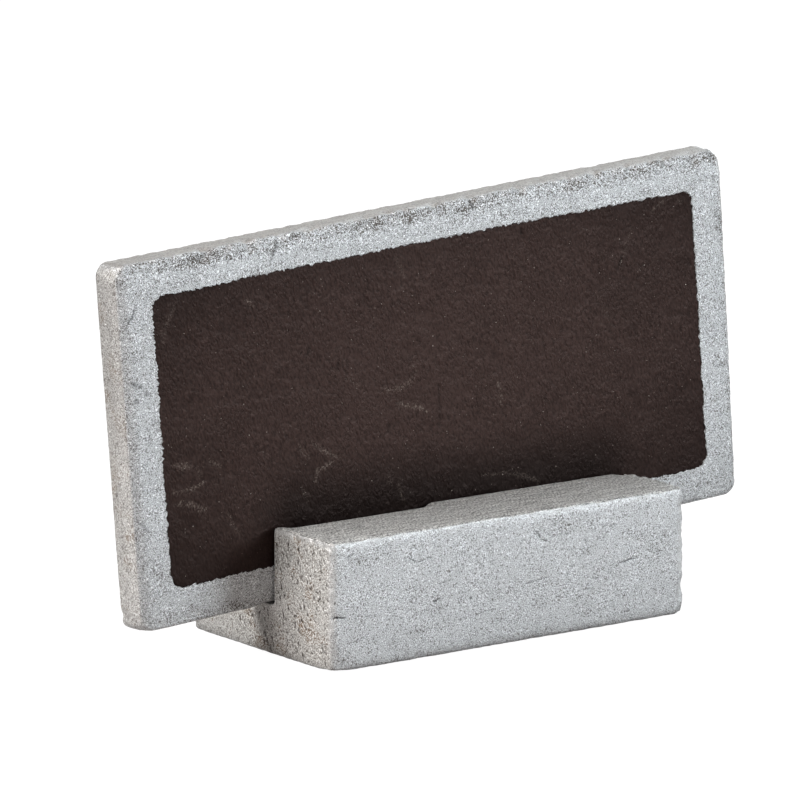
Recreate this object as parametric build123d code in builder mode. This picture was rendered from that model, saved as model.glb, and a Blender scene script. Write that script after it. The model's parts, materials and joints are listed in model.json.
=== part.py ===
from build123d import *
from math import acos, atan2, cos, hypot, sin
import os

# Place card holder: a painted board with a chalkboard panel, standing in the groove of a wood block.
# The origin is the centre of the block's underside, +X runs along the block and the front faces -Y.

# Block, sawn from one piece of wood, all sizes in millimetres
BLOCK_LENGTH = 58.7
BLOCK_DEPTH = 32.3
BLOCK_HEIGHT = 17.5
BLOCK_CORNER_RADIUS = 1.1  # upright corners
BLOCK_EDGE_RADIUS = 0.4  # edges round the top and the underside
LIP_DEPTH = 13.35  # wood in front of the groove
FLOOR_THICKNESS = 6.9  # wood left under the groove
MOUTH_RADIUS = 0.3  # softened top edges of the groove

# Board, a flat plate with softened corners and edges
BOARD_WIDTH = 100.0
BOARD_HEIGHT = 48.6
BOARD_THICKNESS = 5.0
BOARD_CORNER_RADIUS = 2.0
BOARD_EDGE_RADIUS = 0.7

# Chalkboard panel, a thin sheet let into the board's front inside a narrow border
PANEL_THICKNESS = 0.4
PANEL_SINK = 0.1  # how far the panel's face lies below the board's face
PANEL_CORNER_RADIUS = 1.8
PANEL_CLEARANCE = 0.1  # between the panel's edge and the wall of its recess
BORDER_LEFT = 5.3
BORDER_RIGHT = 5.1
BORDER_TOP = 4.8
BORDER_BOTTOM = 4.85

# How the board stands: slack in the groove lets it lean back, and it has rocked up at its right end
GROOVE_CLEARANCE = 0.45  # groove width less board thickness
SEAT_GAP = 0.05  # left at each place where the board meets the groove
BOARD_OVERHANG = 21.0  # bottom edge of the board past the block's left end
BOARD_ROCK = 3.3  # degrees, in the board's own plane

groove_width = BOARD_THICKNESS + GROOVE_CLEARANCE
groove_depth = BLOCK_HEIGHT - FLOOR_THICKNESS
groove_front = LIP_DEPTH - BLOCK_DEPTH / 2

# The board leans until it spans the groove: its foot meets the front wall, its back the rear wall's top
free_width = groove_width - 2 * SEAT_GAP
board_lean = acos(BOARD_THICKNESS / hypot(free_width, groove_depth)) - atan2(groove_depth, free_width)

# The board's front face, with its origin on the bottom edge above the left end of the groove's floor,
# where the foot rests. X runs along the bottom edge and Y up the board.
foot = (
    -BLOCK_LENGTH / 2,
    groove_front + SEAT_GAP,
    FLOOR_THICKNESS + SEAT_GAP + BOARD_THICKNESS * sin(board_lean),
)
leaning_face = Plane(origin=foot, x_dir=(1, 0, 0), z_dir=(0, -cos(board_lean), sin(board_lean)))
board_face = Plane(leaning_face.location * Rotation(0, 0, BOARD_ROCK))

# Outline of the panel's recess, measured on the board's front face
recess_width = BOARD_WIDTH - BORDER_LEFT - BORDER_RIGHT
recess_height = BOARD_HEIGHT - BORDER_TOP - BORDER_BOTTOM
recess_corner = (BORDER_LEFT - BOARD_OVERHANG, BORDER_BOTTOM)
from_corner = (Align.MIN, Align.MIN)

os.makedirs("parts", exist_ok=True)

# Block with softened edges and a square groove, which is open at both ends
with BuildPart() as base_block:
    Box(BLOCK_LENGTH, BLOCK_DEPTH, BLOCK_HEIGHT, align=(Align.CENTER, Align.CENTER, Align.MIN))
    fillet(base_block.edges().filter_by(Axis.Z), radius=BLOCK_CORNER_RADIUS)
    fillet(base_block.faces().filter_by(Axis.Z).edges(), radius=BLOCK_EDGE_RADIUS)
    with BuildSketch(Plane.YZ.offset(-BLOCK_LENGTH / 2)):
        with Locations((groove_front, FLOOR_THICKNESS)):
            Rectangle(groove_width, groove_depth, align=from_corner)
    extrude(amount=BLOCK_LENGTH, mode=Mode.SUBTRACT)
    top_edges = base_block.edges().filter_by(Axis.X).group_by(Axis.Z)[-1].sort_by(Axis.Y)
    fillet(top_edges[1:-1], radius=MOUTH_RADIUS)
base_block.part.label = "base_block"
export_step(base_block.part, "parts/base_block.step")

# Board with rounded corners, softened edges and the panel's shallow recess in its front
with BuildPart() as board:
    with BuildSketch(board_face):
        with Locations((-BOARD_OVERHANG, 0)):
            RectangleRounded(BOARD_WIDTH, BOARD_HEIGHT, BOARD_CORNER_RADIUS, align=from_corner)
    extrude(amount=-BOARD_THICKNESS)
    fillet(board.faces().filter_by(board_face).edges(), radius=BOARD_EDGE_RADIUS)
    with BuildSketch(board_face):
        with Locations(recess_corner):
            RectangleRounded(recess_width, recess_height, PANEL_CORNER_RADIUS, align=from_corner)
    extrude(amount=-(PANEL_SINK + PANEL_THICKNESS), mode=Mode.SUBTRACT)
board.part.label = "board"
export_step(board.part, "parts/board.step")

# Chalkboard panel, which lies on the floor of the recess
with BuildPart() as chalkboard_panel:
    with BuildSketch(board_face.offset(-PANEL_SINK)):
        with Locations(recess_corner):
            RectangleRounded(recess_width, recess_height, PANEL_CORNER_RADIUS, align=from_corner)
        offset(amount=-PANEL_CLEARANCE)
    extrude(amount=-PANEL_THICKNESS)
chalkboard_panel.part.label = "chalkboard_panel"
export_step(chalkboard_panel.part, "parts/chalkboard_panel.step")
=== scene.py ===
import json
import math

import bmesh
import bpy
import numpy as np
from mathutils import Matrix, Vector


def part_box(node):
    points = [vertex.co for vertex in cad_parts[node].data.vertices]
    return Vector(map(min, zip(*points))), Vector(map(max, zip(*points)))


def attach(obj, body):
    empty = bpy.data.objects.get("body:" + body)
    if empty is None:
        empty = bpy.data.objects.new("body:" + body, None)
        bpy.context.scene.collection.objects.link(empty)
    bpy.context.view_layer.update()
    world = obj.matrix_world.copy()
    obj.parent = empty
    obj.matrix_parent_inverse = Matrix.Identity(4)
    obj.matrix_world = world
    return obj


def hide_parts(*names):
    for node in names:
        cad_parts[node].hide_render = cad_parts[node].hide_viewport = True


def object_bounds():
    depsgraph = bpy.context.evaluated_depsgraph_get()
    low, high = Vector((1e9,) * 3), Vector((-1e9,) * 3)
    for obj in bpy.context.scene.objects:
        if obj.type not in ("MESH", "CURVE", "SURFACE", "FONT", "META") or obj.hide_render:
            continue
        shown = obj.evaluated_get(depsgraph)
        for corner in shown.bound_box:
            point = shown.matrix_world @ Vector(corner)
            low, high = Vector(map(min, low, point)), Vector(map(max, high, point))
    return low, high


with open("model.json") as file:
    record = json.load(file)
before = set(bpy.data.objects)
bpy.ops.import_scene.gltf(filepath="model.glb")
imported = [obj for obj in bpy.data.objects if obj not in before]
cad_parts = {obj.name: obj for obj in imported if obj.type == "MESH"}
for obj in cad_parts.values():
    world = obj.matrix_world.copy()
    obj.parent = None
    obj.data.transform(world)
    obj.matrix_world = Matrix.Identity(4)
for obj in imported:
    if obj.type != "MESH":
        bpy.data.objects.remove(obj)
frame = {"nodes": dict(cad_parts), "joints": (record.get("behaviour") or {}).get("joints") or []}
cad_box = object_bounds()

# Base block: a length of sawn softwood with a groove run along its whole length.
# It is sprayed all over with a thick silver paint full of metal grit, which leaves every face granular,
# softens the corners, and lets the brown end grain show through where it soaked in.
MM = 0.001
block_low, block_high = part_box("base_block")
BLOCK_MESH_STEP = 0.34 * MM
GROOVE_FRONT = 13.35 * MM  # from the block's front face
GROOVE_WIDTH = 5.45 * MM
GROOVE_FLOOR = 6.9 * MM
COAT_INSET = 0.075 * MM  # room under the CAD surface for the grit to stand in
CRACK_REACH = 0.45 * MM  # finer faces within this distance of a crack
CRACK_DEPTH = 0.22 * MM
CRACK_WOBBLE = 0.04 * MM  # how ragged their sides are
ON_FACE = 0.5 * MM  # what lies this near a face belongs to it
# Cracks in the front face, darkened with painted shade: how dark, how wide, then points along the block and
# down from its top, all in mm
FRONT_CRACKS = [
    (1.0, 0.14, [(-0.1, 10.5), (0.6, 10.1), (1.2, 10.0), (1.7, 10.2), (2.2, 10.2)]),
    (0.55, 0.08, [(4.8, 10.4), (5.7, 10.6), (6.5, 10.5)]),
    (0.5, 0.08, [(2.4, 2.2), (3.2, 1.9), (4.0, 1.8)]),
    (0.5, 0.07, [(8.9, 0.8), (8.9, 1.4), (9.1, 2.1)]), (0.45, 0.07, [(9.5, 1.3), (9.6, 2.2)]),
    (0.6, 0.09, [(11.9, 3.3), (12.7, 3.7), (13.7, 4.3)]),
    (0.55, 0.09, [(14.1, 4.4), (15.2, 4.1), (16.2, 4.0)]),
    (0.5, 0.07, [(16.6, 2.2), (16.9, 2.7), (17.2, 3.2)]),
    (0.9, 0.11, [(16.5, 9.9), (16.9, 10.0), (17.6, 9.7)]),
    (0.5, 0.07, [(17.5, 7.7), (18.6, 7.5), (19.8, 7.6)]), (0.8, 0.12, [(22.5, 10.3), (22.8, 10.5)]),
    (0.45, 0.07, [(23.6, 12.8), (25.2, 12.5), (26.8, 12.4)]),
    (0.5, 0.08, [(3.4, 13.8), (4.4, 13.4), (5.3, 13.2)]),
    (0.65, 0.08, [(31.7, 9.7), (32.9, 9.6), (33.9, 9.4), (35.7, 9.3)]),
    (0.7, 0.12, [(33.2, 2.6), (33.9, 3.1), (34.2, 3.7)]), (0.6, 0.1, [(34.4, 4.0), (35.3, 4.3)]),
    (0.5, 0.09, [(37.6, 3.5), (38.4, 3.8), (39.8, 3.4)]), (0.4, 0.06, [(37.8, 5.8), (39.6, 6.0)]),
    (0.5, 0.1, [(41.5, 4.8), (42.2, 5.5)]), (0.45, 0.07, [(42.6, 4.7), (44.0, 4.9), (45.3, 5.2)]),
    (0.55, 0.08, [(44.5, 3.4), (45.9, 3.6), (47.4, 3.6)]), (0.5, 0.09, [(39.7, 9.1), (40.8, 9.5)]),
    (0.5, 0.1, [(42.9, 10.4), (44.0, 10.6)]), (0.45, 0.08, [(41.4, 11.8), (42.9, 11.8)]),
    (0.9, 0.11, [(47.5, 8.9), (48.6, 8.9), (49.2, 8.7), (50.1, 8.7)]),
    (0.55, 0.12, [(48.4, 15.8), (49.4, 15.7)]),
]
# Cracks in the left end, along its fibres: the same, with points back from the front and down from the top
END_CRACKS = [
    (0.9, 0.18, [(15.5, 14.5), (15.2, 15.3)]), (1.0, 0.2, [(14.9, 15.5), (14.6, 16.3)]),
    (0.7, 0.16, [(15.6, 15.9), (15.4, 16.5)]), (0.8, 0.16, [(14.2, 16.3), (13.9, 17.0)]),
    (0.6, 0.18, [(2.9, 2.9), (2.6, 3.9)]), (0.6, 0.16, [(2.4, 13.8), (2.2, 15.0)]),
]
# The lip's top has one small pit near its front edge, and its rear edge is worn lower at the left
PIT_PLACE = (7.9 * MM, 1.5 * MM)  # along the block and back from its front
PIT_RADIUS = 0.2 * MM
LOW_EDGE_END = 25.3 * MM  # along the block
LOW_EDGE_DEPTH = 0.7 * MM
LOW_EDGE_REACH = 2.6 * MM
# Corners knocked round: place along the block, back from its front and up from its underside, in mm,
# then reach and depth
KNOCKED_CORNERS = [
    ((0.0, 0.0, 0.0), 4.5 * MM, 0.32 * MM), ((58.7, 0.0, 0.0), 1.5 * MM, 0.3 * MM),
    ((58.7, 32.3, 0.0), 2.0 * MM, 0.4 * MM),
    ((58.7, 13.35, 17.5), 3.2 * MM, 0.45 * MM), ((0.0, 13.35, 17.5), 0.8 * MM, 0.12 * MM),
    ((0.0, 0.0, 17.5), 1.2 * MM, 0.12 * MM), ((58.7, 0.0, 14.7), 1.4 * MM, 0.5 * MM),
    ((58.7, 0.0, 4.0), 1.5 * MM, 0.3 * MM),
]
SHADE_TO_BOTTOM, SHADE_AT_LOWER_EDGE = 0.14, 0.25  # painted shade: how much darker the paint is made towards the bottom, and along the lower edge
END_BULGE = 0.28 * MM  # the right end swells out this far
RIGHT_EDGE_WEAR = 1.6  # its upright edges are worn this much deeper than the rest
FIBRE_LEAN = math.radians(-25)  # of the fibres on the sawn ends, about the block's length
FIBRE_STRETCH = 1.6


def add(tree, kind, sockets=None, **settings):
    """Adds one node with its settings, and sets its sockets or links them.

    A node given for a socket stands for its first result in use, and a hex value for a colour."""
    node = tree.nodes.new(kind)
    for name, value in settings.items():
        setattr(node, name, value)
    for name, value in (sockets or {}).items():
        if isinstance(value, bpy.types.Node):
            value = next(result for result in value.outputs if result.enabled)
        if isinstance(value, bpy.types.NodeSocket):
            tree.links.new(value, node.inputs[name])
        else:
            node.inputs[name].default_value = linear(value) if str(value).startswith("#") else value
    return node


def linear(hex_colour):
    """The linear colour of an sRGB hex value, with full alpha."""
    channels = [int(hex_colour[i:i + 2], 16) / 255 for i in (1, 3, 5)]
    return [c / 12.92 if c <= 0.04045 else ((c + 0.055) / 1.055) ** 2.4 for c in channels] + [1.0]


def new_material(name):
    """A material with an empty node tree, and the tree."""
    material = bpy.data.materials.new(name)
    material.use_nodes = True
    material.node_tree.nodes.clear()
    return material, material.node_tree


def settle(piece):
    """Turns a piece's modifiers into a plain mesh."""
    graph = bpy.context.evaluated_depsgraph_get()
    made = bpy.data.meshes.new_from_object(piece.evaluated_get(graph))
    piece.modifiers.clear()
    piece.data = made


def new_piece(name, data):
    """An object in the scene, at the origin, for a mesh, a light or a camera."""
    piece = bpy.data.objects.new(name, data)
    bpy.context.scene.collection.objects.link(piece)
    return piece


def store(mesh, **numbers):
    """Keeps one number per vertex on the mesh under each name, for its material and its node trees."""
    for name, values in numbers.items():
        mesh.attributes.new(name, "FLOAT", "POINT").data.foreach_set("value", values.astype(np.float32))


def vectors(mesh, what):
    """One vector of each vertex, its place or its normal, as an array."""
    found = np.empty(len(mesh.vertices) * 3, np.float32)
    mesh.vertices.foreach_get(what, found)
    return found.reshape(-1, 3).astype(float)


def ramp(values, low, high):
    """Rises smoothly from 0 at the low value to 1 at the high one."""
    share = np.clip((values - low) / (high - low), 0, 1)
    return share * share * (3 - 2 * share)


def tree_with(name, **inputs):
    """An empty geometry node tree with named inputs, and the sockets that give them."""
    tree = bpy.data.node_groups.new(name, "GeometryNodeTree")
    for label, kind in inputs.items():
        tree.interface.new_socket(label, in_out="INPUT", socket_type="NodeSocket" + kind)
    tree.interface.new_socket("Result", in_out="OUTPUT", socket_type="NodeSocketGeometry")
    return tree, add(tree, "NodeGroupInput").outputs


def grow(piece, tree, **values):
    """Runs a geometry node tree on a piece, with the values of its named inputs, and keeps the result."""
    modifier = piece.modifiers.new(tree.name, "NODES")
    modifier.node_group = tree
    for item in tree.interface.items_tree:
        if item.in_out == "INPUT" and item.name in values:
            modifier[item.identifier] = values[item.name]
    settle(piece)


# Sprayed coat: swells, worn edges and fine roughness, all pushed in under a surface along its normals
coat_tree, given = tree_with(
    "sprayed_coat", surface="Geometry", inset="Float", swell_size="Float", swell_depth="Float",
    wear_size="Float", wear_depth="Float", rough_size="Float", rough_depth="Float", pit_size="Float",
    pit_depth="Float", paint="Material",
)
edge, sunk, ends = (
    add(coat_tree, "GeometryNodeInputNamedAttribute", {"Name": kept})
    for kept in ("edge", "sunk", "end_face")
)
depth = add(coat_tree, "ShaderNodeMath", {0: given["inset"], 1: sunk}, operation="ADD")
for kind, floor_value in (("swell", 0.35), ("wear", 0.42), ("rough", 0.3)):
    per_metre = add(coat_tree, "ShaderNodeMath", {0: 1.0, 1: given[kind + "_size"]}, operation="DIVIDE")
    field = add(coat_tree, "ShaderNodeTexNoise", {"Scale": per_metre})
    hollow = add(
        coat_tree, "ShaderNodeMapRange", {"Value": field, "From Min": floor_value, "From Max": 0.75}
    )
    if kind == "wear":
        hollow = add(coat_tree, "ShaderNodeMath", {0: hollow, 1: edge}, operation="MULTIPLY")
    depth = add(
        coat_tree, "ShaderNodeMath",
        {0: hollow, 1: given[kind + "_depth"], 2: depth}, operation="MULTIPLY_ADD",
    )
# Pits between the leaning fibres of the sawn ends
place = add(coat_tree, "GeometryNodeInputPosition")
leant = add(
    coat_tree, "ShaderNodeVectorRotate", {"Vector": place, "Angle": -FIBRE_LEAN}, rotation_type="X_AXIS"
)
drawn = add(
    coat_tree, "ShaderNodeVectorMath", {0: leant, 1: (1.0, 1.0, 1 / FIBRE_STRETCH)}, operation="MULTIPLY"
)
per_metre = add(coat_tree, "ShaderNodeMath", {0: 1.0, 1: given["pit_size"]}, operation="DIVIDE")
field = add(coat_tree, "ShaderNodeTexNoise", {"Vector": drawn, "Scale": per_metre})
pits = add(coat_tree, "ShaderNodeMapRange", {"Value": field, "From Min": 0.48, "From Max": 0.7})
pits = add(coat_tree, "ShaderNodeMath", {0: pits, 1: ends}, operation="MULTIPLY")
depth = add(
    coat_tree, "ShaderNodeMath", {0: pits, 1: given["pit_depth"], 2: depth}, operation="MULTIPLY_ADD"
)
inwards = add(coat_tree, "ShaderNodeMath", {0: depth, 1: -1.0}, operation="MULTIPLY")
normal = add(coat_tree, "GeometryNodeInputNormal")
offset = add(coat_tree, "ShaderNodeVectorMath", {0: normal, "Scale": inwards}, operation="SCALE")
kept = add(
    coat_tree, "GeometryNodeStoreNamedAttribute",
    {"Geometry": given["surface"], "Name": "pit", "Value": pits},
)
moved = add(coat_tree, "GeometryNodeSetPosition", {"Geometry": kept, "Offset": offset})
smooth = add(coat_tree, "GeometryNodeSetShadeSmooth", {0: moved})
painted = add(coat_tree, "GeometryNodeSetMaterial", {0: smooth, "Material": given["paint"]})
add(coat_tree, "NodeGroupOutput", {"Result": painted})


def end_in_grains(tree, points, size, smallest, seed, paint):
    """Puts an eight-sided grain on each point, each of its own size and turn, and ends the tree."""
    grain = add(tree, "GeometryNodeMeshUVSphere", {"Segments": 4, "Rings": 2, "Radius": size})
    scale = add(tree, "FunctionNodeRandomValue", {2: smallest, 3: 1.0, "Seed": seed})
    tumble = add(
        tree, "FunctionNodeRandomValue", {0: (0.0,) * 3, 1: (math.tau,) * 3, "Seed": seed + 1},
        data_type="FLOAT_VECTOR",
    )
    placed = add(
        tree, "GeometryNodeInstanceOnPoints",
        {"Points": points, "Instance": grain, "Rotation": tumble, "Scale": scale},
    )
    real = add(tree, "GeometryNodeRealizeInstances", {0: placed})
    painted = add(tree, "GeometryNodeSetMaterial", {0: real, "Material": paint})
    add(tree, "NodeGroupOutput", {"Result": painted})


# Metal grit: grains strewn over a painted surface, half sunk in it, but none where "hidden" says so
grit_tree, given = tree_with(
    "metal_grit", surface="Geometry", per_area="Float", size="Float", paint="Material"
)
hidden = add(grit_tree, "GeometryNodeInputNamedAttribute", {"Name": "hidden"})
shown = add(grit_tree, "ShaderNodeMath", {0: 1.0, 1: hidden}, operation="SUBTRACT", use_clamp=True)
density = add(grit_tree, "ShaderNodeMath", {0: given["per_area"], 1: shown}, operation="MULTIPLY")
strewn = add(
    grit_tree, "GeometryNodeDistributePointsOnFaces",
    {"Mesh": given["surface"], "Density": density, "Seed": 7},
)
end_in_grains(grit_tree, strewn, given["size"], 0.5, 8, given["paint"])
GRIT_RADIUS = 0.07 * MM
GRIT_PER_AREA = 3.0 / (MM * MM)
SMOOTH_TOP = 0.5  # share of the grit that a top face lacks


def silver_paint(name, dull, bright, top_tones, bare_ends, speckled_edges):
    """Silver paint full of metal grit: a grey ground with painted glints, with specks open to the wood."""
    paint, tree = new_material(name)
    place = add(tree, "ShaderNodeTexCoord").outputs["Object"]
    ends, tops, edges, crack, pits, foot = (
        add(tree, "ShaderNodeAttribute", attribute_name=kept).outputs["Fac"]
        for kept in ("end_face", "top_face", "edge", "crack", "pit", "foot")
    )
    beside_tops = add(tree, "ShaderNodeMath", {0: 1.0, 1: tops}, operation="SUBTRACT", use_clamp=True)
    specked = add(tree, "ShaderNodeMath", {0: edges, 1: 0.55 * speckled_edges}, operation="MINIMUM")
    specked = add(tree, "ShaderNodeMath", {0: specked, 1: beside_tops}, operation="MULTIPLY")

    # Ground: light and dark grains of 0.11 mm between flakes of 0.15 mm, a few of them dull and a few
    # painted bright as glints, more of them along speckled edges
    grain = add(tree, "ShaderNodeTexNoise", {"Vector": place, "Scale": 1 / (0.11 * MM)})
    flake = add(tree, "ShaderNodeTexVoronoi", {"Vector": place, "Scale": 1 / (0.15 * MM)})
    flake_tone = add(tree, "ShaderNodeSeparateColor", {0: flake.outputs["Color"]})
    tone = add(tree, "ShaderNodeMapRange", {"Value": grain, "From Min": 0.4, "From Max": 0.6})
    ground = add(tree, "ShaderNodeMix", {0: tone, 6: dull, 7: bright}, data_type="RGBA")
    glint_from = add(tree, "ShaderNodeMapRange", {"Value": specked, "To Min": 0.965, "To Max": 0.86})
    glint = add(tree, "ShaderNodeMath", {0: flake_tone, 1: glint_from}, operation="GREATER_THAN")
    dark = add(tree, "ShaderNodeMath", {0: flake_tone, 1: 0.07}, operation="LESS_THAN")
    for share, colour in ((glint, "#ECEEEF"), (dark, "#6A6764")):
        share = add(tree, "ShaderNodeMath", {0: share, 1: beside_tops}, operation="MULTIPLY")
        ground = add(tree, "ShaderNodeMix", {0: share, 6: ground, 7: colour}, data_type="RGBA")

    # Rubbed edges: the paint lies calm there, and paler as a painted highlight, in drifts a few millimetres
    # long
    drift_place = add(tree, "ShaderNodeMapping", {"Vector": place, "Scale": (0.45, 1.0, 1.0)})
    drift = add(tree, "ShaderNodeTexNoise", {"Vector": drift_place, "Scale": 1 / (2.2 * MM), "Detail": 3.0})
    wear_and_highlight = add(
        tree, "ShaderNodeMapRange",
        {
            "Value": drift, "From Min": 0.4, "From Max": 0.6,
            "To Min": 0.15 * (1 - speckled_edges), "To Max": 0.65 * (1 - speckled_edges),
        },
    )
    rubbed_and_lit = add(tree, "ShaderNodeMath", {0: edges, 1: wear_and_highlight}, operation="MULTIPLY", use_clamp=True)

    # Open specks: gathered in the same drifts, as the grain of the wood drank the paint
    drifts = add(tree, "ShaderNodeMapRange", {"Value": drift, "From Min": 0.45, "From Max": 0.68})
    speck = add(tree, "ShaderNodeTexNoise", {"Vector": place, "Scale": 1 / (0.2 * MM), "Detail": 1.0})
    needed = add(tree, "ShaderNodeMapRange", {"Value": drifts, "To Min": 0.73, "To Max": 0.56})
    needed = add(tree, "ShaderNodeMath", {0: specked, 1: -0.33, 2: needed}, operation="MULTIPLY_ADD")
    above = add(tree, "ShaderNodeMath", {0: speck, 1: needed}, operation="SUBTRACT")
    open_speck = add(tree, "ShaderNodeMath", {0: above, 1: 14.0}, operation="MULTIPLY", use_clamp=True)
    # Painted highlight on the rubbed edges, then the open specks
    for share, colour in ((rubbed_and_lit, "#CACBCB"), (open_speck, "#55504B")):
        ground = add(tree, "ShaderNodeMix", {0: share, 6: ground, 7: colour}, data_type="RGBA")

    # End grain: fibres that lean, light where the paint caught on them, brown where it soaked in between
    lean_place = add(
        tree, "ShaderNodeMapping",
        {"Vector": place, "Rotation": (FIBRE_LEAN, 0, 0), "Scale": (1.0, 1.0, FIBRE_STRETCH)},
        vector_type="TEXTURE",
    )
    fibre = add(tree, "ShaderNodeTexNoise", {"Vector": lean_place, "Scale": 1 / (0.14 * MM)})
    caught = add(tree, "ShaderNodeMapRange", {"Value": fibre, "From Min": 0.62, "From Max": 0.36})
    fibres = add(tree, "ShaderNodeMix", {0: caught, 6: "#625A51", 7: "#FFFFFC"}, data_type="RGBA")
    at_ends = add(tree, "ShaderNodeMath", {0: ends, 1: 0.75 * bare_ends}, operation="MULTIPLY")
    ended = add(tree, "ShaderNodeMix", {0: at_ends, 6: ground, 7: fibres}, data_type="RGBA")
    patch = add(tree, "ShaderNodeTexNoise", {"Vector": place, "Scale": 1 / (3.2 * MM)})
    both = add(tree, "ShaderNodeMath", {0: patch, 1: 0.9, 2: fibre}, operation="MULTIPLY_ADD")
    bare = add(tree, "ShaderNodeMapRange", {"Value": both, "From Min": 1.06, "From Max": 1.16})
    for share in (ends, bare_ends):
        bare = add(tree, "ShaderNodeMath", {0: bare, 1: share}, operation="MULTIPLY")
    rust = add(tree, "ShaderNodeMapRange", {"Value": patch, "From Min": 0.4, "From Max": 0.62})
    wood = add(tree, "ShaderNodeMix", {0: rust, 6: "#544940", 7: "#7A6650"}, data_type="RGBA")
    ended = add(tree, "ShaderNodeMix", {0: bare, 6: ended, 7: wood}, data_type="RGBA")
    in_pits = add(tree, "ShaderNodeMapRange", {"Value": pits, "From Min": 0.4, "From Max": 0.9})
    in_pits = add(tree, "ShaderNodeMath", {0: in_pits, 1: bare_ends}, operation="MULTIPLY")
    ended = add(tree, "ShaderNodeMix", {0: in_pits, 6: ended, 7: "#3A302A"}, data_type="RGBA")

    # Sawn tops: lengthwise brushing and flattened grains of 0.15 mm, drawn longer across the block,
    # because the top is mostly seen at a slant
    brush_place = add(tree, "ShaderNodeMapping", {"Vector": place, "Scale": (0.05, 0.35, 1.0)})
    brush = add(
        tree, "ShaderNodeTexNoise", {"Vector": brush_place, "Scale": 1 / (0.22 * MM), "Detail": 3.0}
    )
    lump_place = add(tree, "ShaderNodeMapping", {"Vector": place, "Scale": (1.0, 0.35, 1.0)})
    lump = add(tree, "ShaderNodeTexNoise", {"Vector": lump_place, "Scale": 1 / (0.15 * MM)})
    strokes = add(tree, "ShaderNodeMath", {0: brush, 1: 0.3, 2: lump}, operation="MULTIPLY_ADD")
    strokes = add(tree, "ShaderNodeMapRange", {"Value": strokes, "From Min": 0.55, "From Max": 0.75})
    streak = add(tree, "ShaderNodeMix", {0: strokes, 6: top_tones[0], 7: top_tones[1]}, data_type="RGBA")
    top_share = add(tree, "ShaderNodeMath", {0: tops, 1: 0.9}, operation="MULTIPLY")
    topped = add(tree, "ShaderNodeMix", {0: top_share, 6: ended, 7: streak}, data_type="RGBA")
    # Painted shade: darker towards the bottom and beside some edges; cracks in the colour of the opened
    # wood, with painted shade in them
    for share, colour in ((foot, "#5E5C5A"), (crack, "#1E1A18")):
        topped = add(tree, "ShaderNodeMix", {0: share, 6: topped, 7: colour}, data_type="RGBA")

    # Shine and relief: each flake has its own shine, and the tops are flatter than the rest
    shine = add(tree, "ShaderNodeMapRange", {"Value": flake_tone, "To Min": 0.4, "To Max": 0.7})
    relief_height = add(
        tree, "ShaderNodeMath", {0: flake.outputs["Distance"], 1: -0.5, 2: grain}, operation="MULTIPLY_ADD"
    )
    relief_height = add(tree, "ShaderNodeMix", {0: tops, 2: relief_height, 3: lump})
    relief_strength = add(tree, "ShaderNodeMapRange", {"Value": tops, "To Min": 0.8, "To Max": 0.5})
    relief = add(
        tree, "ShaderNodeBump",
        {"Height": relief_height, "Strength": relief_strength, "Distance": 0.07 * MM},
    )
    surface = add(
        tree, "ShaderNodeBsdfPrincipled",
        {"Base Color": topped, "Metallic": 0.6, "Roughness": shine, "Normal": relief},
    )
    add(tree, "ShaderNodeOutputMaterial", {"Surface": surface})
    return paint


merged = bmesh.new()
merged.from_mesh(frame["nodes"]["base_block"].data)
bmesh.ops.remove_doubles(merged, verts=merged.verts, dist=0.001 * MM)
block_mesh = bpy.data.meshes.new("sprayed_block")
merged.to_mesh(block_mesh)
merged.free()
block = new_piece("sprayed_block", block_mesh)
remesh = block.modifiers.new("even_faces", "REMESH")
remesh.mode = "VOXEL"
remesh.voxel_size = BLOCK_MESH_STEP
settle(block)

wobble = np.random.default_rng(5)


def crack_amount(points, corner, cracks):
    """How far each point of a face lies in the listed cracks, from 0 to 1, and its distance from the
    nearest.

    Cracks are measured right and down from the face's upper left corner."""
    amount, nearest = np.zeros(len(points)), np.full(len(points), 1.0)
    for darkness, width, marks in cracks:
        line, width = np.array(corner) + np.array(marks) * (MM, -MM), width * MM
        for k, (start, end) in enumerate(zip(line, line[1:])):
            along = end - start
            share = np.clip(((points - start) @ along) / (along @ along), 0, 1)
            away = np.linalg.norm(points - start - share[:, None] * along, axis=1)
            # A crack is thinner towards its ends
            fullness = 0.5 + 0.5 * np.sin(math.pi * (k + share) / (len(line) - 1))
            nearest = np.minimum(nearest, away)
            amount = np.maximum(amount, darkness * np.exp(-(away / (width * fullness)) ** 2))
    return amount, nearest


pit_middle = np.array([block_low.x + PIT_PLACE[0], block_low.y + PIT_PLACE[1]])
form = bmesh.new()
form.from_mesh(block.data)
form.verts.ensure_lookup_table()
places = vectors(block.data, "co")
front_corner = (block_low.x, block_high.z)
to_crack = crack_amount(places[:, [0, 2]], front_corner, FRONT_CRACKS)[1]
near = (places[:, 1] < block_low.y + ON_FACE) & (to_crack < CRACK_REACH)
by_pit = np.linalg.norm(places[:, :2] - pit_middle, axis=1) < CRACK_REACH
near |= by_pit & (places[:, 2] > block_high.z - ON_FACE)
on_end = np.abs(vectors(block.data, "normal")[:, 0]) > 0.8
for chosen, cuts in ((near, 2), (on_end, 1)):
    close = {form.verts[i] for i in np.nonzero(chosen)[0]}
    between = [e for e in form.edges if e.verts[0] in close and e.verts[1] in close]
    bmesh.ops.subdivide_edges(form, edges=between, cuts=cuts, use_grid_fill=True)
    form.verts.ensure_lookup_table()
form.to_mesh(block.data)
form.free()

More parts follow.
